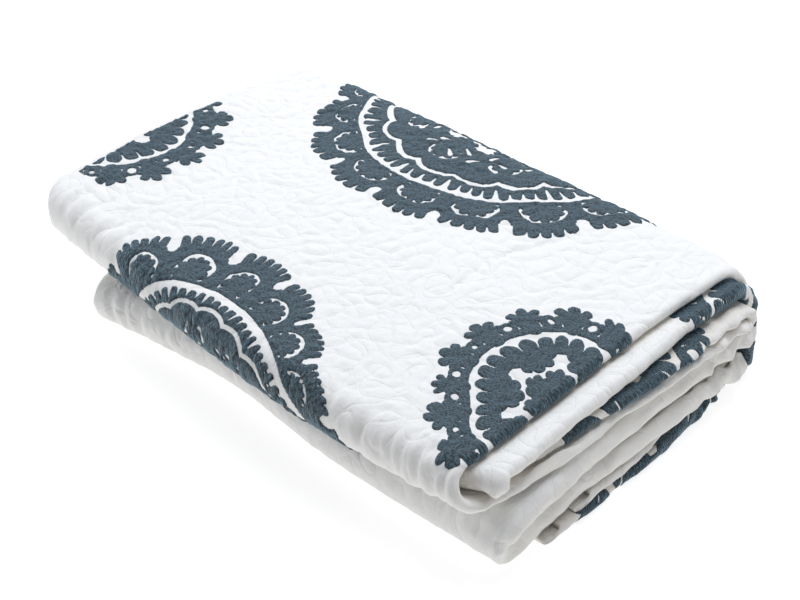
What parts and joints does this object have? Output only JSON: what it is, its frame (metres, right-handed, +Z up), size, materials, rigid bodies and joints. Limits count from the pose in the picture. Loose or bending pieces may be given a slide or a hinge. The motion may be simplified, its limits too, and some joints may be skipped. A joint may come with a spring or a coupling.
{
  "type": "folded suzani quilt",
  "caption": "Cotton bed quilt folded flat in stacked plies, with rounded front folds and an outer wrap at the back.",
  "frame": {"origin": "centre of the folded quilt's box, on the surface that it lies on", "axes": "+X along the long side, towards the end where the stacked fold edges show; -Y towards the rounded front folds; +Z up"},
  "size_m": [0.5909, 0.41, 0.0997],
  "materials": {
    "quilted_cotton": "matte",
    "slate_thread": "matte"
  },
  "bodies": {
    "root": {"quilt": "quilted_cotton"}
  },
  "joints": []
}
